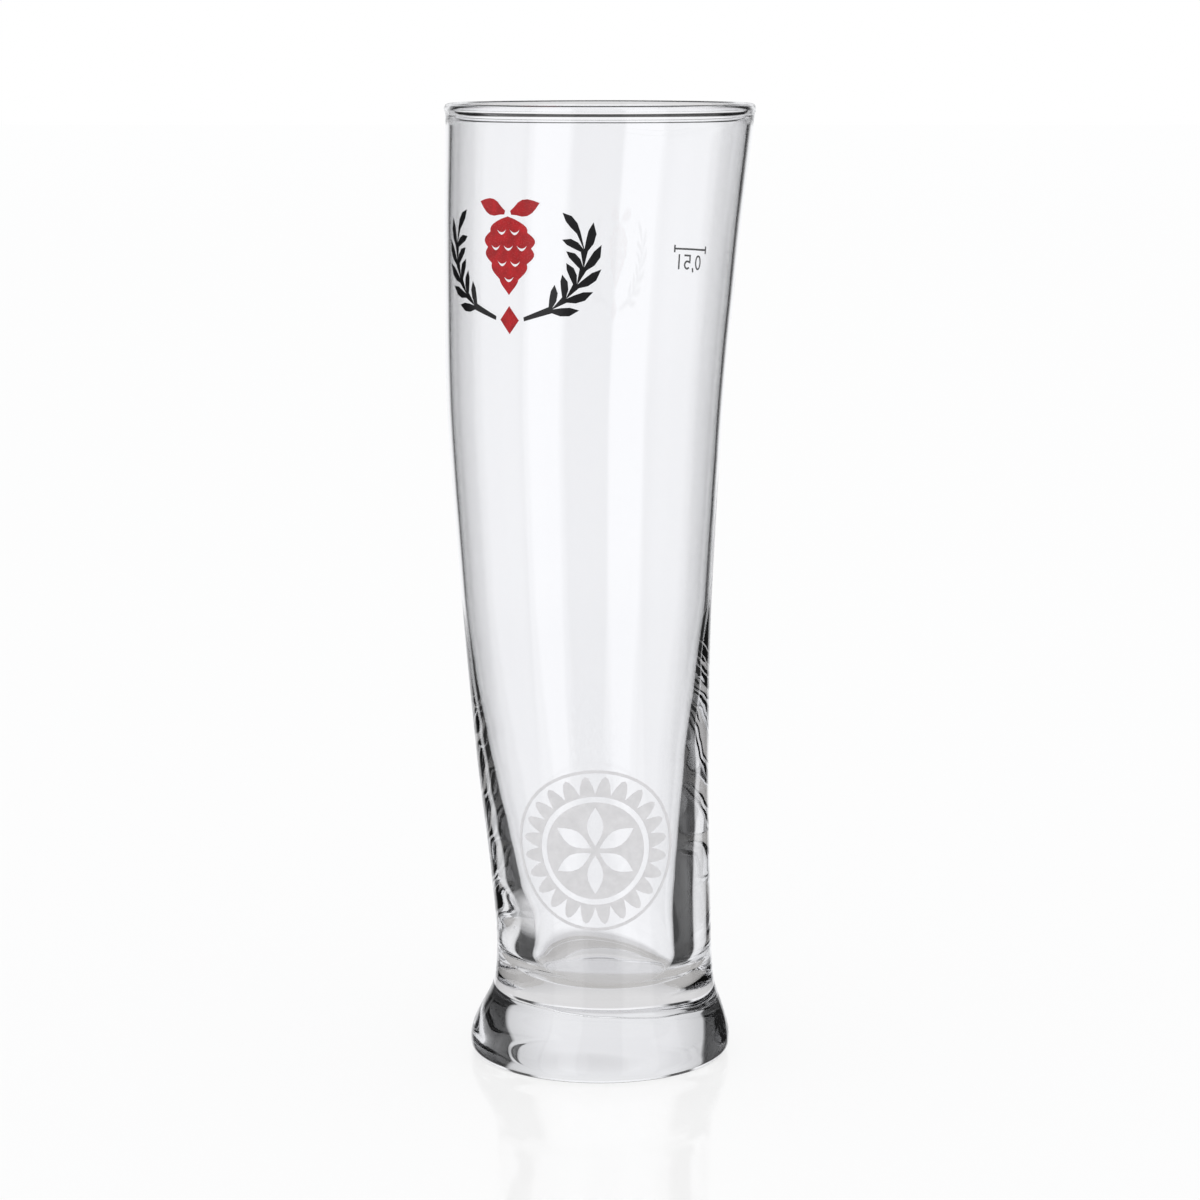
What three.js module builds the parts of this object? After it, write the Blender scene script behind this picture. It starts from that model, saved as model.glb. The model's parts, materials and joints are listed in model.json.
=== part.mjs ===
// A tall beer glass: a heavy foot, a wall that leans to one side and back, a rounded lip, and fired enamel prints.
// Millimetres, +Z up. The foot stands on z = 0 round the origin, and the prints' front faces -Y.
import * as THREE from "three";
import { TessellateModifier } from "three/addons/modifiers/TessellateModifier.js";

// Facets round the glass and steps along its outline
const glassFacets = 48;
const edgeSteps = 4;
const flareSteps = 6;
const wallSteps = 18;
const lipSteps = 8;
const cornerSteps = 5;

// Overall height, from the table to the top of the lip
const glassHeight = 250;

// Foot: its widest point, the rounded edge under it, the ring it stands on, and the hollow inside the ring
const footDiameter = 69;
const footEdgeRise = 3.4;
const footEdgeRun = 1.8;
const bearingWidth = 6.5;
const puntDepth = 1.8;

// Wall levels, each a rise above the level below it: outer diameter and lean of the axis towards +X.
// The upper level has no rise of its own, because it takes up what the others leave of the overall height.
const flareRise = 17.8;
const flareDiameter = 57.8;
const flareSway = 1.13;
const waistRise = 8.8;
const waistDiameter = 57;
const waistSway = 1.08;
const ankleRise = 18;
const ankleDiameter = 58;
const ankleSway = 0.15;
const lowerRise = 32;
const lowerDiameter = 61.2;
const lowerSway = -1.95;
const middleRise = 42;
const middleDiameter = 65.5;
const middleSway = -3.45;
const upperDiameter = 70.8;
const upperSway = -3.9;
const shoulderRise = 47;
const shoulderDiameter = 75.6;
const shoulderSway = -2.2;
const lipRise = 38;

// Lip: a rounded bead, thicker than the wall that carries it
const rimDiameter = 79.8;
const beadHeight = 3;
const beadThickness = 2.3;
const beadProud = 0.35;

// Wall thickness at the levels, and how far the cavity's axis stands off the outside's.
// The taper lies between the lower and the middle level, at a share of the way up.
const lipWall = 1.6;
const shoulderWall = 1.4;
const upperWall = 1.3;
const middleWall = 1.4;
const middleShift = -0.2;
const taperShare = 0.5;
const taperWall = 2.45;
const taperShift = -0.55;
const lowerWall = 4.4;
const lowerShift = -0.8;
const ankleWall = 7.6;
const ankleShift = -0.75;
const waistWall = 9.5;
const waistShift = -0.1;

// Cavity floor: its height, the dish in it, the rounded corner up to the wall, and how far the floor stands off it
const floorHeight = 21.4;
const floorDish = 0.5;
const cornerRise = 7;
const cornerRun = 3.4;
const floorShift = 1.2;

// Enamel: film thickness, gap to the glass facets under it, and the longest flat edge of a film
const enamelThickness = 0.15;
const enamelGap = 0.06;
const filmEdge = 3.5;

// Emblem on the upper wall: a hop cone with two leaves inside two barley ears
const emblemDrop = 21;
const emblemAngle = -33;
const hopWidth = 15.5;
const hopLength = 19.5;
const hopRows = 5;
const hopNotch = 0.16;
const hopSlit = 0.6;
const hopPetal = 3.9;
const leafLength = 8.4;
const leafWidth = 4.2;
const leafTilt = 18;
const emblemClearance = 0.9;
const grainLength = 6.4;
const grainWidth = 2.3;
const grainTilt = 38;
const grainPitch = 4.5;
const stemWidth = 1;
const bareStem = 8;
const earSpread = 4.6;
const earEnd = 52;
const tieWidth = 5.6;
const tieHeight = 7;

// Satin rosette on the lower wall: a disc with petals left clear, a border of leaves and a thin ring
const rosetteRise = 9.4;
const rosetteAngle = -1;
const rosetteHub = 1.3;
const petalCount = 6;
const petalLength = 10.2;
const petalWidth = 4.2;
const discMargin = 1.4;
const rosetteClearance = 1.5;
const borderLine = 0.7;
const borderLeaves = 24;
const borderLeafLength = 4.6;
const ringClearance = 0.9;
const ringWidth = 0.8;
const roundSteps = 48;

// Fill mark on the back of the wall: a line with end ticks, and the capacity under it
const fillDrop = 38.8;
const fillAngle = 133.5;
const fillLength = 12.7;
const fillStroke = 0.5;
const tickHeight = 2;
const figureHeight = 4;
const figureWidth = 2.4;
const figureStroke = 0.5;
const figureGap = 0.7;
const figureDrop = 1.2;
const commaTail = 1.1;
const unitSpace = 1.6;
const figureSteps = 10;

// Heights of the levels, stacked from the table up and from the lip down
const flareHeight = footEdgeRise + flareRise;
const waistHeight = flareHeight + waistRise;
const ankleHeight = waistHeight + ankleRise;
const lowerHeight = ankleHeight + lowerRise;
const middleHeight = lowerHeight + middleRise;
const taperHeight = lowerHeight + middleRise * taperShare;
const shoulderHeight = glassHeight - lipRise;
const upperHeight = shoulderHeight - shoulderRise;
const lipHeight = glassHeight - beadHeight;
const lipRadius = rimDiameter / 2 - beadProud;

const outsideLevels = [
  { height: footEdgeRise, radius: footDiameter / 2, sway: 0 },
  { height: flareHeight, radius: flareDiameter / 2, sway: flareSway },
  { height: waistHeight, radius: waistDiameter / 2, sway: waistSway },
  { height: ankleHeight, radius: ankleDiameter / 2, sway: ankleSway },
  { height: lowerHeight, radius: lowerDiameter / 2, sway: lowerSway },
  { height: middleHeight, radius: middleDiameter / 2, sway: middleSway },
  { height: upperHeight, radius: upperDiameter / 2, sway: upperSway },
  { height: shoulderHeight, radius: shoulderDiameter / 2, sway: shoulderSway },
  { height: lipHeight, radius: lipRadius, sway: 0 },
];

const cavityLevels = [
  { height: waistHeight, wall: waistWall, shift: waistShift },
  { height: ankleHeight, wall: ankleWall, shift: ankleShift },
  { height: lowerHeight, wall: lowerWall, shift: lowerShift },
  { height: taperHeight, wall: taperWall, shift: taperShift },
  { height: middleHeight, wall: middleWall, shift: middleShift },
  { height: upperHeight, wall: upperWall, shift: 0 },
  { height: shoulderHeight, wall: shoulderWall, shift: 0 },
  { height: lipHeight, wall: lipWall, shift: 0 },
];

// One field of the levels at a height, on a smooth curve that never swings past the levels
function between(levels, field, height) {
  const last = levels.length - 1;
  const rate = (i) => (levels[i + 1][field] - levels[i][field]) / (levels[i + 1].height - levels[i].height);
  const slope = (i) => {
    if (i === 0) return 0;
    if (i === last) return rate(last - 1);
    const below = rate(i - 1);
    const above = rate(i);
    return below * above > 0 ? (2 * below * above) / (below + above) : 0;
  };
  let i = 0;
  while (i < last - 1 && height > levels[i + 1].height) i += 1;
  const span = levels[i + 1].height - levels[i].height;
  const t = THREE.MathUtils.clamp((height - levels[i].height) / span, 0, 1);
  const rise = t * t * (3 - 2 * t);
  const leave = t * (1 - t) * (1 - t) * span * slope(i);
  const arrive = t * t * (t - 1) * span * slope(i + 1);
  return levels[i][field] * (1 - rise) + levels[i + 1][field] * rise + leave + arrive;
}

// Radius and lean of the outside and of the cavity at a height
function outsideAt(height) {
  const radius = between(outsideLevels, "radius", height);
  const sway = between(outsideLevels, "sway", height);
  return { height, radius, sway };
}

function cavityAt(height) {
  const outside = outsideAt(height);
  const radius = outside.radius - between(cavityLevels, "wall", height);
  const sway = outside.sway + between(cavityLevels, "shift", height);
  return { height, radius, sway };
}

// Rows of facets up the outside, from the foot's widest point to the lip
const outsideRows = [];
for (let i = 0; i < flareSteps; i += 1) {
  outsideRows.push(outsideAt(footEdgeRise + (flareRise * i) / flareSteps));
}
for (let i = 0; i <= wallSteps; i += 1) {
  outsideRows.push(outsideAt(flareHeight + ((lipHeight - flareHeight) * i) / wallSteps));
}

// Radius and lean of the outside as its facets have it: straight from row to row
function facetAt(height) {
  let i = 0;
  while (i < outsideRows.length - 2 && height > outsideRows[i + 1].height) i += 1;
  const below = outsideRows[i];
  const above = outsideRows[i + 1];
  const t = (height - below.height) / (above.height - below.height);
  const radius = THREE.MathUtils.lerp(below.radius, above.radius, t);
  return { height, radius, sway: THREE.MathUtils.lerp(below.sway, above.sway, t) };
}

// The glass's section, from under the foot, up the outside, over the lip and down to the cavity floor
function glassSection() {
  const section = [];
  const bearingRadius = footDiameter / 2 - footEdgeRun;
  const puntRadius = bearingRadius - bearingWidth;
  section.push({ radius: 0, height: puntDepth, sway: 0 });
  for (let i = 1; i <= edgeSteps; i += 1) {
    const t = i / edgeSteps;
    section.push({ radius: puntRadius * t, height: puntDepth * (1 - t * t), sway: 0 });
  }
  for (let i = 0; i < edgeSteps; i += 1) {
    const angle = (i / edgeSteps) * (Math.PI / 2);
    const radius = bearingRadius + footEdgeRun * Math.sin(angle);
    section.push({ radius, height: footEdgeRise * (1 - Math.cos(angle)), sway: 0 });
  }
  section.push(...outsideRows);
  const beadRadius = rimDiameter / 2 - beadThickness / 2;
  for (let i = 0; i <= lipSteps; i += 1) {
    const angle = Math.PI * (i / lipSteps);
    const radius = beadRadius + (beadThickness / 2) * Math.cos(angle);
    section.push({ radius, height: glassHeight + (beadHeight / 2) * (Math.sin(angle) - 1), sway: 0 });
  }
  const cornerHeight = floorHeight + floorDish + cornerRise;
  for (let i = 0; i < wallSteps; i += 1) {
    section.push(cavityAt(lipHeight - ((lipHeight - cornerHeight) * i) / wallSteps));
  }
  const corner = cavityAt(cornerHeight);
  for (let i = 0; i <= cornerSteps; i += 1) {
    const angle = (i / cornerSteps) * (Math.PI / 2);
    const inward = 1 - Math.cos(angle);
    const height = cornerHeight - cornerRise * Math.sin(angle);
    const radius = corner.radius - cornerRun * inward;
    section.push({ radius, height, sway: corner.sway + floorShift * inward });
  }
  section.push({ radius: 0, height: floorHeight, sway: corner.sway + floorShift });
  return section;
}

// Turns the section round its axis, then leans each level by its sway
function glassGeometry() {
  const section = glassSection();
  const outline = section.map((level) => new THREE.Vector2(level.radius, level.height));
  const geometry = new THREE.LatheGeometry(outline, glassFacets);
  geometry.rotateX(Math.PI / 2);
  const position = geometry.getAttribute("position");
  for (let i = 0; i < position.count; i += 1) {
    position.setX(i, position.getX(i) + section[i % section.length].sway);
  }
  return geometry;
}

// A flat print made into a film on the wall: x runs along the wall to the right, y up it.
// The wall's lean is taken out of the film's turn, so that a print stands upright.
function filmOnWall(shape, angle, height) {
  const flat = new THREE.ExtrudeGeometry(shape, {
    depth: enamelThickness,
    bevelEnabled: false,
    curveSegments: figureSteps,
  });
  const film = new TessellateModifier(filmEdge, 8).modify(flat);
  const middle = facetAt(height);
  const facing = THREE.MathUtils.degToRad(angle);
  const chordSag = (filmEdge * filmEdge) / (8 * middle.radius);
  const position = film.getAttribute("position");
  for (let i = 0; i < position.count; i += 1) {
    const wall = facetAt(height + position.getY(i));
    const reach = wall.radius + enamelGap + chordSag + position.getZ(i);
    const along = position.getX(i) + (middle.sway - wall.sway) * Math.cos(facing);
    const turn = facing + along / middle.radius;
    position.setXYZ(i, wall.sway + reach * Math.sin(turn), -reach * Math.cos(turn), wall.height);
  }
  return film;
}

// Outline of a pointed leaf from its root along a direction, as points up one side and down the other
function leafPoints(root, direction, length, width, neck, steps) {
  const side = new THREE.Vector2(-direction.y, direction.x);
  const points = [];
  for (let i = 0; i <= 2 * steps; i += 1) {
    const t = 1 - Math.abs(i / steps - 1);
    const half = Math.max(Math.sin(Math.PI * t) * (width / 2), (neck / 2) * (1 - t));
    const point = root.clone().addScaledVector(direction, length * t);
    points.push(point.addScaledVector(side, i < steps ? half : -half));
  }
  return points;
}

function direction(degrees) {
  const angle = THREE.MathUtils.degToRad(degrees);
  return new THREE.Vector2(Math.cos(angle), Math.sin(angle));
}

// Half the hop cone's width at a share of its length from the top, without its notches
function hopHalfWidth(share) {
  return (hopWidth / 2) * Math.sin(Math.PI * Math.pow(share, 0.7));
}

// Hop cone: notched sides, and slits that follow the lower edges of its petals
function hopShape() {
  const steps = hopRows * 6;
  const right = [];
  for (let i = 0; i <= steps; i += 1) {
    const share = i / steps;
    const notch = 1 - hopNotch * (1 - Math.abs(Math.sin(Math.PI * hopRows * share)));
    right.push(new THREE.Vector2(hopHalfWidth(share) * notch, hopLength * (0.5 - share)));
  }
  const left = right.slice(1, -1).reverse();
  const shape = new THREE.Shape([...right, ...left.map((point) => new THREE.Vector2(-point.x, point.y))]);
  for (let row = 1; row < hopRows; row += 1) {
    const share = row / hopRows;
    const level = hopLength * (0.5 - share);
    const room = 2 * hopHalfWidth(share) * (1 - hopNotch) - emblemClearance;
    const fitting = Math.floor(room / hopPetal);
    for (let k = 0; k < fitting; k += 1) {
      shape.holes.push(slitPath((k - (fitting - 1) / 2) * hopPetal, level));
    }
  }
  return shape;
}

// A crescent that sags under one petal
function slitPath(middle, level) {
  const half = (hopPetal - emblemClearance) / 2;
  const path = new THREE.Path();
  path.moveTo(middle - half, level + half / 2);
  path.quadraticCurveTo(middle, level - half - hopSlit, middle + half, level + half / 2);
  path.quadraticCurveTo(middle, level - half + hopSlit, middle - half, level + half / 2);
  return path;
}

// Leaf beside the hop's top, on the side given by the sign
function leafShape(sign) {
  const root = new THREE.Vector2(sign * emblemClearance, hopLength / 2 + emblemClearance);
  const along = direction(leafTilt);
  along.x *= sign;
  return new THREE.Shape(leafPoints(root, along, leafLength, leafWidth, stemWidth, 6));
}

// Barley ear: grains on both sides of a stem that follows an ellipse round the hop
function earShape(sign) {
  const inside = Math.max(hopWidth / 2, leafLength + emblemClearance);
  const across = inside + emblemClearance + grainReach() + earSpread;
  const start = -Math.acos((tieWidth / 2 + emblemClearance + stemWidth / 2) / across);
  const curve = new THREE.EllipseCurve(0, 0, across, earHeight(), start, THREE.MathUtils.degToRad(earEnd));
  const length = curve.getLength();
  const grains = Math.floor((length - bareStem - grainLength) / grainPitch);
  const outer = [];
  const inner = [];
  outer.push(new THREE.Vector2(0, stemWidth / 2));
  inner.push(new THREE.Vector2(0, -stemWidth / 2));
  for (let k = 0; k < grains; k += 1) {
    const root = new THREE.Vector2(bareStem + k * grainPitch, stemWidth / 2);
    const grain = leafPoints(root, direction(grainTilt), grainLength, grainWidth, stemWidth, 3);
    outer.push(...grain);
    inner.push(...grain.map((point) => new THREE.Vector2(point.x, -point.y)));
  }
  const top = new THREE.Vector2(bareStem + grains * grainPitch, 0);
  const crown = leafPoints(top, direction(0), grainLength, grainWidth, stemWidth, 3);
  const local = [...outer, ...crown, ...inner.reverse()];
  const points = local.map((point) => {
    const share = THREE.MathUtils.clamp(point.x / length, 0, 1);
    const tangent = curve.getTangentAt(share);
    const place = curve.getPointAt(share);
    place.addScaledVector(tangent, point.x - share * length);
    place.addScaledVector(new THREE.Vector2(tangent.y, -tangent.x), point.y);
    return new THREE.Vector2(sign * place.x, place.y);
  });
  return new THREE.Shape(points);
}

// How far a grain stands off its stem's middle line
function grainReach() {
  const tilt = THREE.MathUtils.degToRad(grainTilt);
  return stemWidth / 2 + grainLength * Math.sin(tilt) + (grainWidth / 2) * Math.cos(tilt);
}

// Half height of the ears' ellipse, which clears the hop's tip
function earHeight() {
  return hopLength / 2 + emblemClearance + Math.max(grainReach(), tieHeight / 2);
}

// Lozenge that ties the two stems together
function tieShape() {
  const level = -earHeight();
  const shape = new THREE.Shape();
  shape.moveTo(-tieWidth / 2, level);
  shape.lineTo(0, level - tieHeight / 2);
  shape.lineTo(tieWidth / 2, level);
  shape.lineTo(0, level + tieHeight / 2);
  return shape;
}

// Points of a circle, with lobes of a given length standing on it
function roundPoints(radius, steps, lobes, lobeLength) {
  const points = [];
  for (let i = 0; i < steps; i += 1) {
    const angle = (i / steps) * 2 * Math.PI;
    const lobe = Math.abs(Math.sin((lobes * angle) / 2));
    points.push(direction(THREE.MathUtils.radToDeg(angle)).multiplyScalar(radius + lobeLength * lobe));
  }
  return points;
}

function ringShape(outer, inner) {
  const shape = new THREE.Shape(roundPoints(outer, roundSteps, 0, 0));
  shape.holes.push(new THREE.Path(roundPoints(inner, roundSteps, 0, 0)));
  return shape;
}

// Disc of the rosette, with its petals left clear
const discRadius = rosetteHub + petalLength + discMargin;
function discShape() {
  const shape = new THREE.Shape(roundPoints(discRadius, roundSteps, 0, 0));
  for (let k = 0; k < petalCount; k += 1) {
    const along = direction(90 + (k * 360) / petalCount);
    const root = along.clone().multiplyScalar(rosetteHub);
    shape.holes.push(new THREE.Path(leafPoints(root, along, petalLength, petalWidth, 0, 6).slice(1)));
  }
  return shape;
}

// Border of the rosette: leaves standing on a thin line
const borderRadius = discRadius + rosetteClearance;
function borderShape() {
  const steps = borderLeaves * 6;
  const shape = new THREE.Shape(roundPoints(borderRadius + borderLine, steps, borderLeaves, borderLeafLength));
  shape.holes.push(new THREE.Path(roundPoints(borderRadius, roundSteps, 0, 0)));
  return shape;
}

const ringRadius = borderRadius + borderLine + borderLeafLength + ringClearance;

// Fill line with a tick at each end
function fillLineShape() {
  const half = fillLength / 2;
  const inside = half - fillStroke;
  const line = fillStroke / 2;
  const tick = tickHeight / 2;
  const corner = [
    [half, -tick],
    [half, tick],
    [inside, tick],
    [inside, line],
    [-inside, line],
    [-inside, tick],
    [-half, tick],
    [-half, -tick],
    [-inside, -tick],
    [-inside, -line],
    [inside, -line],
    [inside, -tick],
  ];
  return new THREE.Shape(corner.map(([x, y]) => new THREE.Vector2(x, y)));
}

// A line of even width along points, with mitred corners
function strokeShape(points, width) {
  const sides = [[], []];
  points.forEach((point, i) => {
    const before = points[Math.max(i - 1, 0)];
    const after = points[Math.min(i + 1, points.length - 1)];
    const arrive = i > 0 ? point.clone().sub(before).normalize() : after.clone().sub(point).normalize();
    const leave = after === point ? arrive : after.clone().sub(point).normalize();
    const normal = new THREE.Vector2(-arrive.y - leave.y, arrive.x + leave.x).normalize();
    const mitre = width / 2 / (normal.x * -arrive.y + normal.y * arrive.x);
    sides[0].push(point.clone().addScaledVector(normal, -mitre));
    sides[1].push(point.clone().addScaledVector(normal, mitre));
  });
  return new THREE.Shape([...sides[0], ...sides[1].reverse()]);
}

// Figures stand on a base line at y = 0, from their left edge at x
function zeroShape(x) {
  const shape = new THREE.Shape();
  const middle = x + figureWidth / 2;
  shape.absellipse(middle, figureHeight / 2, figureWidth / 2, figureHeight / 2, 0, 2 * Math.PI);
  const hole = new THREE.Path();
  const clear = figureStroke;
  hole.absellipse(middle, figureHeight / 2, figureWidth / 2 - clear, figureHeight / 2 - clear, 0, 2 * Math.PI);
  shape.holes.push(hole);
  return shape;
}

function commaShape(x) {
  const top = new THREE.Vector2(x + figureStroke / 2, figureStroke);
  const tail = new THREE.Vector2(x, figureStroke - commaTail);
  return strokeShape([top, tail], figureStroke);
}

function fiveShape(x) {
  const half = figureStroke / 2;
  const bowl = (figureHeight * 0.62 - figureStroke) / 2;
  const points = [
    new THREE.Vector2(x + figureWidth, figureHeight - half),
    new THREE.Vector2(x + half, figureHeight - half),
    new THREE.Vector2(x + half, half + bowl * 1.75),
  ];
  for (let i = 0; i <= figureSteps; i += 1) {
    const angle = THREE.MathUtils.degToRad(110 - (i / figureSteps) * 250);
    const across = (figureWidth - figureStroke) / 2;
    const place = new THREE.Vector2(across * Math.cos(angle), bowl * Math.sin(angle));
    points.push(place.add(new THREE.Vector2(x + figureWidth / 2, half + bowl)));
  }
  return strokeShape(points, figureStroke);
}

function litreShape(x) {
  const foot = new THREE.Vector2(x + figureStroke / 2, 0);
  const top = new THREE.Vector2(x + figureStroke / 2, figureHeight);
  return strokeShape([foot, top], figureStroke);
}

// Finishes
function enamel(color) {
  return new THREE.MeshStandardMaterial({ color, roughness: 0.35, metalness: 0 });
}
const clearGlass = new THREE.MeshStandardMaterial({ color: 0xe9eff0, roughness: 0.05, metalness: 0 });
const redEnamel = enamel(0xa8141c);
const blackEnamel = enamel(0x141414);
const satinEnamel = new THREE.MeshStandardMaterial({ color: 0xdedfe0, roughness: 0.7, metalness: 0 });

const glass = new THREE.Group();
function add(name, geometry, material) {
  const mesh = new THREE.Mesh(geometry, material);
  mesh.name = name;
  glass.add(mesh);
}

add("glass_body", glassGeometry(), clearGlass);

const emblemHeight = glassHeight - emblemDrop - earHeight();
function addEmblem(name, shape, material) {
  add(name, filmOnWall(shape, emblemAngle, emblemHeight), material);
}
addEmblem("emblem_hop", hopShape(), redEnamel);
addEmblem("emblem_leaf_left", leafShape(-1), redEnamel);
addEmblem("emblem_leaf_right", leafShape(1), redEnamel);
addEmblem("emblem_ear_left", earShape(-1), blackEnamel);
addEmblem("emblem_ear_right", earShape(1), blackEnamel);
addEmblem("emblem_tie", tieShape(), redEnamel);

const rosetteHeight = waistHeight + rosetteRise + ringRadius + ringWidth;
function addRosette(name, shape) {
  add(name, filmOnWall(shape, rosetteAngle, rosetteHeight), satinEnamel);
}
addRosette("rosette_disc", discShape());
addRosette("rosette_border", borderShape());
addRosette("rosette_ring", ringShape(ringRadius + ringWidth, ringRadius));

const fillHeight = glassHeight - fillDrop;
const figureBase = fillHeight - fillStroke / 2 - figureDrop - figureHeight;
const commaPlace = figureWidth + figureGap;
const fivePlace = commaPlace + figureStroke + figureGap;
const litrePlace = fivePlace + figureWidth + unitSpace;
const figureStart = -(litrePlace + figureStroke) / 2;
function addFigure(name, shape) {
  add(name, filmOnWall(shape, fillAngle, figureBase), blackEnamel);
}
add("fill_line", filmOnWall(fillLineShape(), fillAngle, fillHeight), blackEnamel);
addFigure("fill_figure_zero", zeroShape(figureStart));
addFigure("fill_comma", commaShape(figureStart + commaPlace));
addFigure("fill_figure_five", fiveShape(figureStart + fivePlace));
addFigure("fill_litre", litreShape(figureStart + litrePlace));

export default glass;
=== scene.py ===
import json
import math

import bmesh
import bpy
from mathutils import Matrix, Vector, noise


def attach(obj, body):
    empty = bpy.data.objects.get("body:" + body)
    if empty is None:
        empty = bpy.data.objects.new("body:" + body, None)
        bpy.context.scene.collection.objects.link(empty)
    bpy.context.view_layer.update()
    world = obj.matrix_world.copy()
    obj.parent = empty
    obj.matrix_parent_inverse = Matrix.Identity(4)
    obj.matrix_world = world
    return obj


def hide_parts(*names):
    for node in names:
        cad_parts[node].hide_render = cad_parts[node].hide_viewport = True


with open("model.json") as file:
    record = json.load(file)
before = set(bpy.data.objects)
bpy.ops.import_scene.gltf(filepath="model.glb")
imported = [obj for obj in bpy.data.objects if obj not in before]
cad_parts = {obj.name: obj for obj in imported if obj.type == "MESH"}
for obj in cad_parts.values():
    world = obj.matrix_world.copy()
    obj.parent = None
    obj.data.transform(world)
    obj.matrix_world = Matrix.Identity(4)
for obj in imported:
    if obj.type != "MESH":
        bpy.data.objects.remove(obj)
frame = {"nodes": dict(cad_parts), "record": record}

mm = 0.001  # sizes below are in millimetres, the scene is in metres
scene = bpy.context.scene
scene.view_settings.view_transform = "Standard"
scene.cycles.max_bounces = 16  # light goes round inside the foot many times
scene.cycles.glossy_bounces = 14
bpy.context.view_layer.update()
print("frame loaded:", len(frame["nodes"]), "nodes")


# Node helpers
def addNode(tree, kind, inputs=None, **settings):
    node = tree.nodes.new(kind)
    for key, value in settings.items():
        setattr(node, key, value)
    for key, value in (inputs or {}).items():
        if isinstance(value, bpy.types.NodeSocket):
            tree.links.new(value, node.inputs[key])
        else:
            node.inputs[key].default_value = value
    return node


def freshMaterial(name):
    material = bpy.data.materials.new(name)
    material.use_nodes = True
    material.node_tree.nodes.clear()
    return material, material.node_tree


# The wall of the glass
glassForm = {
    "height": 250.0,
    "around": 192,  # points round each row
    "outside": [  # height, radius, lean towards +X
        (3.4, 34.5, 0.0),
        (21.2, 28.9, 1.13),
        (30.0, 28.5, 1.08),
        (48.0, 29.0, 0.15),
        (80.0, 30.6, -1.95),
        (122.0, 32.75, -3.45),
        (165.0, 35.4, -3.9),
        (212.0, 37.8, -2.2),
        (247.0, 39.55, 0.0),
    ],
    "wall": [  # height, thickness, how far the cavity's axis stands off the outside's
        (30.0, 9.5, -0.1),
        (48.0, 7.6, -0.75),
        (80.0, 4.4, -0.8),
        (101.0, 2.45, -0.55),
        (122.0, 1.4, -0.2),
        (165.0, 1.3, 0.0),
        (212.0, 1.4, 0.0),
        (247.0, 1.6, 0.0),
    ],
    "bearing": (26.2, 32.7),  # ring that it stands on
    "edgeRise": 3.4,
    "punt": 1.8,  # hollow under the foot
    "bead": (38.75, 1.15, 1.5),  # lip: middle radius, half thickness, half height
    "beadTurn": (-40.0, 220.0),
    "floor": 21.4,
    "dish": 0.5,
    "corner": (3.4, 7.0),  # rounding up to the wall: run, rise
    "floorShift": 1.2,
    "floorTilt": 0.04,  # rise of the cavity floor towards the back
    "seam": (16.5, -0.062, 0.3, 0.3, 0.09),  # mould line: height, tilt, waves, width, depth
    "seamNoise": (4.0, 7.0),  # turns of its noise, and the noise's level
    "footWaves": (0.05, 2.4, 0.22, 5.0, 22.0),  # depth, turns of the noise, steps up, lowest, highest
    "cavityWaves": (0.04, 1.3, 0.14, 30.0, 92.0),
    "waveFade": 3.0,  # height over which waves die out
    "outsideRows": [(13.0, 20), (20.0, 46), (36.0, 26), (247.0, 84)],  # up to this height, rows
    "cavityRows": (60, 96.0, 60),  # rows above a height, the height, rows below it
    "underRows": (9, 5, 10),  # hollow, bearing ring, edge
    "lipRows": 22,
    "cornerRows": 16,
    "floorRows": 6,
}


def alongLevels(levels, field, height):
    last = len(levels) - 1

    def rate(i):
        return (levels[i + 1][field] - levels[i][field]) / (levels[i + 1][0] - levels[i][0])

    def slope(i):
        if i == 0:
            return 0.0
        if i == last:
            return rate(last - 1)
        below, above = rate(i - 1), rate(i)
        return 2 * below * above / (below + above) if below * above > 0 else 0.0

    i = 0
    while i < last - 1 and height > levels[i + 1][0]:
        i += 1
    span = levels[i + 1][0] - levels[i][0]
    t = min(1.0, max(0.0, (height - levels[i][0]) / span))
    rise = t * t * (3 - 2 * t)
    value = levels[i][field] * (1 - rise) + levels[i + 1][field] * rise
    return value + t * (1 - t) ** 2 * span * slope(i) + t * t * (t - 1) * span * slope(i + 1)


def outsideAt(height):
    levels = glassForm["outside"]
    return alongLevels(levels, 1, height), alongLevels(levels, 2, height)


def cavityAt(height):
    radius, lean = outsideAt(height)
    levels = glassForm["wall"]
    return radius - alongLevels(levels, 1, height), lean + alongLevels(levels, 2, height)


def cornerTop():
    return glassForm["floor"] + glassForm["dish"] + glassForm["corner"][1]


def spread(start, end, count):
    return [start + (end - start) * i / count for i in range(count)]


def underRows():
    form = glassForm
    inner, outer = form["bearing"]
    foot = form["outside"][0][1]
    hollowRows, ringRows, edgeRows = form["underRows"]
    rows = [(0.0, form["punt"], 0.0, "under")]
    for t in spread(0.1, 1.0, hollowRows):
        rows.append((inner * t, form["punt"] * (1 - t * t), 0.0, "under"))
    for r in spread(inner, outer, ringRows):
        rows.append((r, 0.0, 0.0, "under"))
    for a in spread(0.0, math.pi / 2, edgeRows):
        radius = outer + (foot - outer) * math.sin(a)
        rows.append((radius, form["edgeRise"] * (1 - math.cos(a)), 0.0, "under"))
    return rows


def outsideRows():
    form = glassForm
    heights = []
    start = form["edgeRise"]
    for end, count in form["outsideRows"]:
        heights += spread(start, end, count)
        start = end
    rows = []
    for h in heights + [start]:
        radius, lean = outsideAt(h)
        rows.append((radius, h, lean, "outside"))
    return rows


def lipRows():
    form = glassForm
    middle, half, tall = form["bead"]
    first, last = [math.radians(angle) for angle in form["beadTurn"]]
    rows = []
    for a in spread(first, last, form["lipRows"]) + [last]:
        rows.append((middle + half * math.cos(a), form["height"] - tall + tall * math.sin(a), 0.0, "lip"))
    return rows


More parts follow.
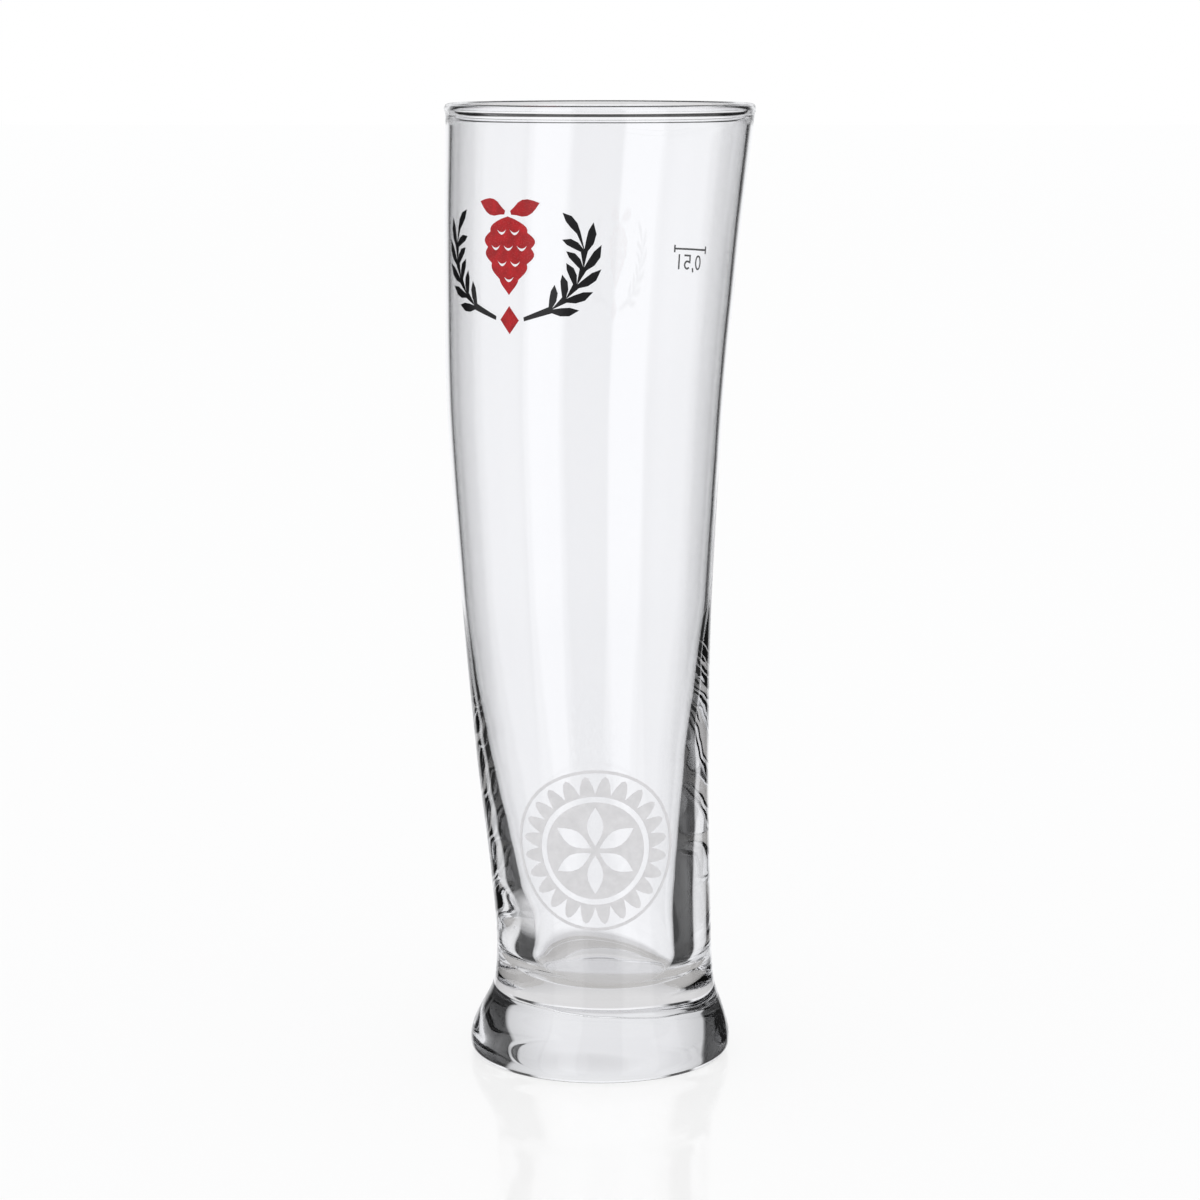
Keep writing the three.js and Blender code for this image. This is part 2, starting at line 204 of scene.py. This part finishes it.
def cavityRows():
    form = glassForm
    run, rise = form["corner"]
    top = cornerTop()
    upper, split, lower = form["cavityRows"]
    rows = []
    for h in spread(form["outside"][-1][0], split, upper) + spread(split, top, lower):
        radius, lean = cavityAt(h)
        rows.append((radius, h, lean, "cavity"))
    radius, lean = cavityAt(top)
    shift = form["floorShift"]
    for a in spread(0.0, math.pi / 2, form["cornerRows"]) + [math.pi / 2]:
        inward = 1 - math.cos(a)
        rows.append((radius - run * inward, top - rise * math.sin(a), lean + shift * inward, "floor"))
    for t in spread(0.9, 0.1, form["floorRows"]):
        rows.append(((radius - run) * t, form["floor"] + form["dish"] * t * t, lean + shift, "floor"))
    rows.append((0.0, form["floor"], lean + shift, "floor"))
    return rows


def waves(setting, turn, height):
    depth, turns, steps, low, high = setting
    fade = glassForm["waveFade"]
    share = min(1.0, max(0.0, (height - low) / fade)) * min(1.0, max(0.0, (high - height) / fade))
    if share == 0.0:
        return 0.0
    return depth * share * noise.noise((turns * math.cos(turn), turns * math.sin(turn), height * steps))


def uneven(skin, radius, turn, height):
    form = glassForm
    if skin == "outside":
        middle, tilt, wave, width, depth = form["seam"]
        turns, level = form["seamNoise"]
        line = middle + tilt * radius * math.sin(turn)
        line += wave * noise.noise((turns * math.cos(turn), turns * math.sin(turn), level))
        groove = depth * math.exp(-(((height - line) / width) ** 2))
        return waves(form["footWaves"], turn, height) - groove
    if skin == "cavity":
        return waves(form["cavityWaves"], turn, height)
    return 0.0


def buildGlass():
    around = glassForm["around"]
    rise = glassForm["corner"][1]
    top = cornerTop()
    mesh = bpy.data.meshes.new("glass_wall")
    bm = bmesh.new()
    rings = []
    for radius, height, lean, skin in underRows() + outsideRows() + lipRows() + cavityRows():
        tilt = glassForm["floorTilt"] * min(1.0, (top - height) / rise) if skin == "floor" else 0.0
        ring = []
        for k in range(around if radius > 0.0 else 1):
            turn = 2 * math.pi * k / around
            reach = radius + uneven(skin, radius, turn, height)
            x, y = lean + reach * math.sin(turn), -reach * math.cos(turn)
            ring.append(bm.verts.new((x * mm, y * mm, (height + tilt * y) * mm)))
        rings.append(ring)
    for low, high in zip(rings, rings[1:]):
        for k in range(around):
            n = (k + 1) % around
            if len(low) == 1:
                bm.faces.new((low[0], high[n], high[k]))
            elif len(high) == 1:
                bm.faces.new((low[k], low[n], high[0]))
            else:
                bm.faces.new((low[k], low[n], high[n], high[k]))
    bmesh.ops.recalc_face_normals(bm, faces=bm.faces[:])
    bm.to_mesh(mesh)
    bm.free()
    mesh.shade_smooth()
    piece = bpy.data.objects.new("glass_wall", mesh)
    scene.collection.objects.link(piece)
    return piece


glassLook = {
    "cords": {"Scale": 70.0, "Detail": 2.0},  # faint streaks of the melt
    "tones": ((0.988, 0.989, 0.998, 1.0), (0.996, 0.996, 1.0, 1.0)),
    "ripple": {"Strength": 1.0, "Distance": 0.000012},
    "shader": {"Roughness": 0.0, "IOR": 1.52, "Transmission Weight": 1.0},
    "body": {"Color": (0.86, 0.87, 0.91, 1.0), "Density": 2.0},  # what thick glass takes from the light
}


def clearGlass():
    look = glassLook
    material, tree = freshMaterial("clear_glass")
    place = addNode(tree, "ShaderNodeTexCoord").outputs["Object"]
    cords = addNode(tree, "ShaderNodeTexNoise", {"Vector": place, **look["cords"]}).outputs["Fac"]
    tone = addNode(tree, "ShaderNodeValToRGB", {"Fac": cords})
    for element, colour in zip(tone.color_ramp.elements, look["tones"]):
        element.color = colour
    ripple = addNode(tree, "ShaderNodeBump", {"Height": cords, **look["ripple"]})
    shader = addNode(tree, "ShaderNodeBsdfPrincipled", {
        "Base Color": tone.outputs["Color"],
        "Normal": ripple.outputs["Normal"],
        **look["shader"],
    })
    body = addNode(tree, "ShaderNodeVolumeAbsorption", look["body"])
    addNode(tree, "ShaderNodeOutputMaterial", {
        "Surface": shader.outputs["BSDF"],
        "Volume": body.outputs["Volume"],
    })
    return material


glass = buildGlass()
glass.data.materials.append(clearGlass())
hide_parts("glass_body")
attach(glass, "root")
print("glass wall:", len(glass.data.polygons), "faces")


# Fired enamel: each film is laid smoothly onto the wall
enamelForm = {
    "weld": 0.001,  # corners closer than this are joined
    "sunk": 0.02,  # how far a film goes into the glass
    "proud": 0.06,
    "middle": 0.175,  # parts the inner skin of a film from its outer skin
    "step": 1.3,  # longer edges are halved
    "rounds": 2,  # of halving
    "crease": 40.0,  # degrees at which an edge stays sharp
}

enamelLook = {
    "paints": {  # colour, its share of mottling, roughness, and its share of change
        "red_enamel": ((0.42, 0.008, 0.012), 0.25, 0.24, 0.35),
        "black_enamel": ((0.006, 0.006, 0.007), 0.5, 0.22, 0.35),
        "satin_enamel": ((0.74, 0.735, 0.75), 0.06, 0.62, 0.2),
    },
    "cloud": {"Scale": 420.0, "Detail": 4.0, "Roughness": 0.6},
    "grain": {"Scale": 2600.0, "Detail": 3.0},
    "noiseEnds": (0.3, 0.7),
    "bump": {"Strength": 0.12, "Distance": 0.00002},
}


def enamelPaint(name):
    look = enamelLook
    colour, mottle, rough, change = look["paints"][name]
    low, high = look["noiseEnds"]
    material, tree = freshMaterial(name)
    place = addNode(tree, "ShaderNodeTexCoord").outputs["Object"]
    cloud = addNode(tree, "ShaderNodeTexNoise", {"Vector": place, **look["cloud"]})
    tone = addNode(tree, "ShaderNodeValToRGB", {"Fac": cloud.outputs["Fac"]})
    dark, light = tone.color_ramp.elements
    dark.position = low
    dark.color = (*[c * (1 - mottle) for c in colour], 1.0)
    light.position = high
    light.color = (*[min(1.0, c * (1 + mottle)) for c in colour], 1.0)
    grain = addNode(tree, "ShaderNodeTexNoise", {"Vector": place, **look["grain"]}).outputs["Fac"]
    gloss = addNode(tree, "ShaderNodeMapRange", {
        "Value": grain,
        "From Min": low,
        "From Max": high,
        "To Min": rough * (1 - change),
        "To Max": rough * (1 + change),
    })
    skin = addNode(tree, "ShaderNodeBump", {"Height": grain, **look["bump"]})
    shader = addNode(tree, "ShaderNodeBsdfPrincipled", {
        "Base Color": tone.outputs["Color"],
        "Roughness": gloss.outputs["Result"],
        "Normal": skin.outputs["Normal"],
    })
    addNode(tree, "ShaderNodeOutputMaterial", {"Surface": shader.outputs["BSDF"]})
    return material


def layFilm(node, paint):
    form = enamelForm
    bm = bmesh.new()
    bm.from_mesh(node.data)
    bm.transform(node.matrix_world)
    bmesh.ops.remove_doubles(bm, verts=bm.verts[:], dist=form["weld"] * mm)
    for n in range(form["rounds"]):
        long = [edge for edge in bm.edges if edge.calc_length() > form["step"] * mm]
        if long:
            bmesh.ops.subdivide_edges(bm, edges=long, cuts=1)
    for vert in bm.verts:
        x, y, z = vert.co / mm
        radius, lean = outsideAt(z)
        reach = math.hypot(x - lean, y)
        skin = form["proud"] if reach - radius > form["middle"] else -form["sunk"]
        share = (radius + skin) / reach
        vert.co = Vector((lean + (x - lean) * share, y * share, z)) * mm
    bmesh.ops.recalc_face_normals(bm, faces=bm.faces[:])
    for edge in bm.edges:
        edge.smooth = edge.calc_face_angle(0.0) < math.radians(form["crease"])
    for face in bm.faces:
        face.smooth = True
    mesh = bpy.data.meshes.new("print_" + node.name)
    bm.to_mesh(mesh)
    bm.free()
    piece = bpy.data.objects.new("print_" + node.name, mesh)
    scene.collection.objects.link(piece)
    mesh.materials.append(paint)
    return piece


paints = {name: enamelPaint(name) for name in enamelLook["paints"]}
for part in frame["record"]["subparts"]:
    if part["material_slot"] in paints:
        film = layFilm(frame["nodes"][part["node"]], paints[part["material_slot"]])
        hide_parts(part["node"])
        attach(film, "root")
print("enamel films laid")


# Studio: the glass shows a white room with dark cards, a dark ceiling and two soft boxes
studioLook = {  # stops are degrees round the glass, 0 behind it and 90 to its right, and a grey
    "frontLeft": [(-180, 0.3), (-160, 0.3), (-157, 1.0), (-128, 1.0), (-125, 0.3)],  # soft box
    "frontRight": [(126, 0.3), (129, 1.0), (159, 1.0), (162, 0.3), (180, 0.3)],
    "straight": [  # near the horizon, in light that went straight through
        (-36, 1.0), (-33, 0.02), (-24, 0.02), (-22, 0.45), (-20, 0.82), (-14, 0.93), (-8, 1.0),
        (8, 1.0), (14, 0.95), (20, 0.85), (22, 0.5), (24, 0.02), (33, 0.02), (36, 1.0),
    ],
    "bounced": [  # in light that was mirrored on or in the glass
        (-122, 0.5), (-78, 0.6), (-72, 0.03), (-29, 0.03), (-23, 0.85), (-12, 1.0),
        (12, 1.0), (20, 0.85), (25, 0.03), (72, 0.03), (78, 0.6), (112, 0.5),
    ],
    "upward": [  # the same, where it leaves upwards
        (-122, 0.8), (-78, 0.8), (-72, 0.01), (-40, 0.01), (-38, 0.6), (-20, 0.84),
        (14, 0.86), (33, 0.6), (35, 0.01), (100, 0.01), (104, 0.5),
    ],
    "tint": (0.98, 0.985, 1.0),
    "straightEnds": (9.0, 13.0),  # elevations that part the looks
    "ceilingEnds": (12.0, 14.0),
    "upwardEnds": (0.0, 3.0),
    "steepEnds": (34.0, 44.0),
    "white": (0.96, 0.965, 0.98, 1.0),  # backdrop
    "foot": (0.74, 0.735, 0.735, 1.0),  # backdrop seen through the foot or one wall
    "twoWalls": 2.5,  # light that crossed the cavity went through more surfaces than this
    "mirrored": 0.5,  # bounced light was mirrored more often than this
    "ceiling": (0.05, 0.05, 0.05, 1.0),  # dark above, which draws the lip's lines
    "steep": (0.66, 0.66, 0.67, 1.0),
    "plain": (1.0, 1.0, 1.0, 1.0),  # what the camera and matt surfaces see
}


def bandRamp(tree, name, turn, front=True):
    stops = studioLook[name]
    if front:  # with the soft boxes
        stops = studioLook["frontLeft"] + stops + studioLook["frontRight"]
    ramp = addNode(tree, "ShaderNodeValToRGB", {"Fac": turn})
    while len(ramp.color_ramp.elements) > 1:
        ramp.color_ramp.elements.remove(ramp.color_ramp.elements[-1])
    for i, (angle, level) in enumerate(stops):
        position = angle / 360 + 0.5
        element = ramp.color_ramp.elements[0] if i == 0 else ramp.color_ramp.elements.new(position)
        element.position = position
        element.color = (*[level * part for part in studioLook["tint"]], 1.0)
    return ramp.outputs["Color"]


def blendLooks(tree, share, first, second):
    sockets = {"Factor": share, 6: first, 7: second}  # 6 and 7 are the node's colours
    return addNode(tree, "ShaderNodeMix", sockets, data_type="RGBA").outputs[2]


def blendShaders(tree, share, first, second):
    sockets = {0: share, 1: first.outputs[0], 2: second.outputs[0]}
    return addNode(tree, "ShaderNodeMixShader", sockets)


def reckon(tree, operation, *values):
    return addNode(tree, "ShaderNodeMath", dict(enumerate(values)), operation=operation).outputs[0]


def shareBetween(tree, value, low, high):
    ends = {"Value": value, "From Min": low, "From Max": high}
    return addNode(tree, "ShaderNodeMapRange", ends).outputs[0]


def aboveElevation(tree, rise, ends):
    low, high = [math.sin(math.radians(angle)) for angle in ends]
    return shareBetween(tree, rise, low, high)


def buildWorld():
    look = studioLook
    world = bpy.data.worlds.new("studio")
    scene.world = world
    world.use_nodes = True
    world.cycles.sampling_method = "NONE"
    tree = world.node_tree
    tree.nodes.clear()
    heading = addNode(tree, "ShaderNodeTexCoord").outputs["Generated"]
    axes = addNode(tree, "ShaderNodeSeparateXYZ", {"Vector": heading}).outputs
    azimuth = reckon(tree, "ARCTAN2", axes["X"], axes["Y"])
    turn = shareBetween(tree, azimuth, -math.pi, math.pi)
    rise = axes["Z"]
    lift = reckon(tree, "ABSOLUTE", rise)
    path = addNode(tree, "ShaderNodeLightPath").outputs
    crossed = reckon(tree, "GREATER_THAN", path["Transmission Depth"], look["twoWalls"])
    backdrop = blendLooks(tree, crossed, look["foot"], look["white"])
    cards = bandRamp(tree, "straight", turn, front=False)
    straight = blendLooks(tree, aboveElevation(tree, lift, look["straightEnds"]), cards, backdrop)
    straight = blendLooks(tree, aboveElevation(tree, rise, look["ceilingEnds"]), straight, look["ceiling"])
    upward = aboveElevation(tree, rise, look["upwardEnds"])
    bounced = blendLooks(tree, upward, bandRamp(tree, "bounced", turn), bandRamp(tree, "upward", turn))
    mirrored = reckon(tree, "GREATER_THAN", path["Glossy Depth"], look["mirrored"])
    room = blendLooks(tree, mirrored, straight, bounced)
    room = blendLooks(tree, aboveElevation(tree, lift, look["steepEnds"]), room, look["steep"])
    plain = reckon(tree, "MAXIMUM", path["Is Camera Ray"], path["Is Diffuse Ray"])
    colour = blendLooks(tree, plain, room, look["plain"])
    background = addNode(tree, "ShaderNodeBackground", {"Color": colour, "Strength": 1.0})
    addNode(tree, "ShaderNodeOutputWorld", {"Surface": background.outputs["Background"]})


floorLook = {
    "size": 20.0,  # metres
    "drop": 0.15,  # under the foot
    "white": (1.0, 1.0, 1.0, 1.0),
    "matt": 0.15,  # share that takes the shadow
    "gloss": 0.1,  # share that mirrors the foot
    "roughness": 0.06,
    "shade": (0.52, 0.51, 0.50, 1.0),  # floor under the foot, as the glass shows it
    "shadeEnds": (31.0, 37.0),
    "bounce": (0.9, 0.9, 0.9, 1.0),  # what matt surfaces see of it
}


def buildFloor():
    look = floorLook
    half = look["size"] / 2
    drop = -look["drop"] * mm
    corners = [(-half, -half, drop), (half, -half, drop), (half, half, drop), (-half, half, drop)]
    mesh = bpy.data.meshes.new("studio_floor")
    mesh.from_pydata(corners, [], [(0, 1, 2, 3)])
    floor = bpy.data.objects.new("studio_floor", mesh)
    scene.collection.objects.link(floor)
    material, tree = freshMaterial("white_floor")
    path = addNode(tree, "ShaderNodeLightPath").outputs
    glow = addNode(tree, "ShaderNodeEmission", {"Color": look["white"], "Strength": 1.0})
    matt = addNode(tree, "ShaderNodeBsdfDiffuse", {"Color": look["white"]})
    shine = addNode(tree, "ShaderNodeBsdfGlossy", {"Color": look["white"], "Roughness": look["roughness"]})
    soft = blendShaders(tree, look["matt"], glow, matt)
    seen = blendShaders(tree, look["gloss"], soft, shine)
    place = addNode(tree, "ShaderNodeNewGeometry").outputs["Position"]
    away = addNode(tree, "ShaderNodeVectorMath", {0: place}, operation="LENGTH").outputs["Value"]
    near, far = [r * mm for r in look["shadeEnds"]]
    shaded = addNode(tree, "ShaderNodeEmission", {"Color": look["shade"], "Strength": 1.0})
    through = addNode(tree, "ShaderNodeBsdfTransparent", {"Color": look["white"]})
    clear = blendShaders(tree, shareBetween(tree, away, near, far), shaded, through)
    bounce = addNode(tree, "ShaderNodeBsdfDiffuse", {"Color": look["bounce"]})
    other = blendShaders(tree, path["Is Diffuse Ray"], clear, bounce)
    final = blendShaders(tree, path["Is Camera Ray"], other, seen)
    addNode(tree, "ShaderNodeOutputMaterial", {"Surface": final.outputs[0]})
    mesh.materials.append(material)


buildWorld()
buildFloor()
print("studio ready")


# Camera
cameraPlace = {
    "distance": 869.4,  # in front of the foot's middle
    "height": 265.8,
    "pitch": 9.45,  # degrees down
    "lens": 100.89,
    "sensor": 36.0,
    "sight": 50.0,  # metres
}
cameraData = bpy.data.cameras.new("photo_camera")
cameraData.lens = cameraPlace["lens"]
cameraData.sensor_width = cameraPlace["sensor"]
cameraData.clip_end = cameraPlace["sight"]
camera = bpy.data.objects.new("photo_camera", cameraData)
camera.location = (0.0, -cameraPlace["distance"] * mm, cameraPlace["height"] * mm)
camera.rotation_euler = (math.radians(90 - cameraPlace["pitch"]), 0.0, 0.0)
scene.collection.objects.link(camera)
scene.camera = camera
print("camera placed")
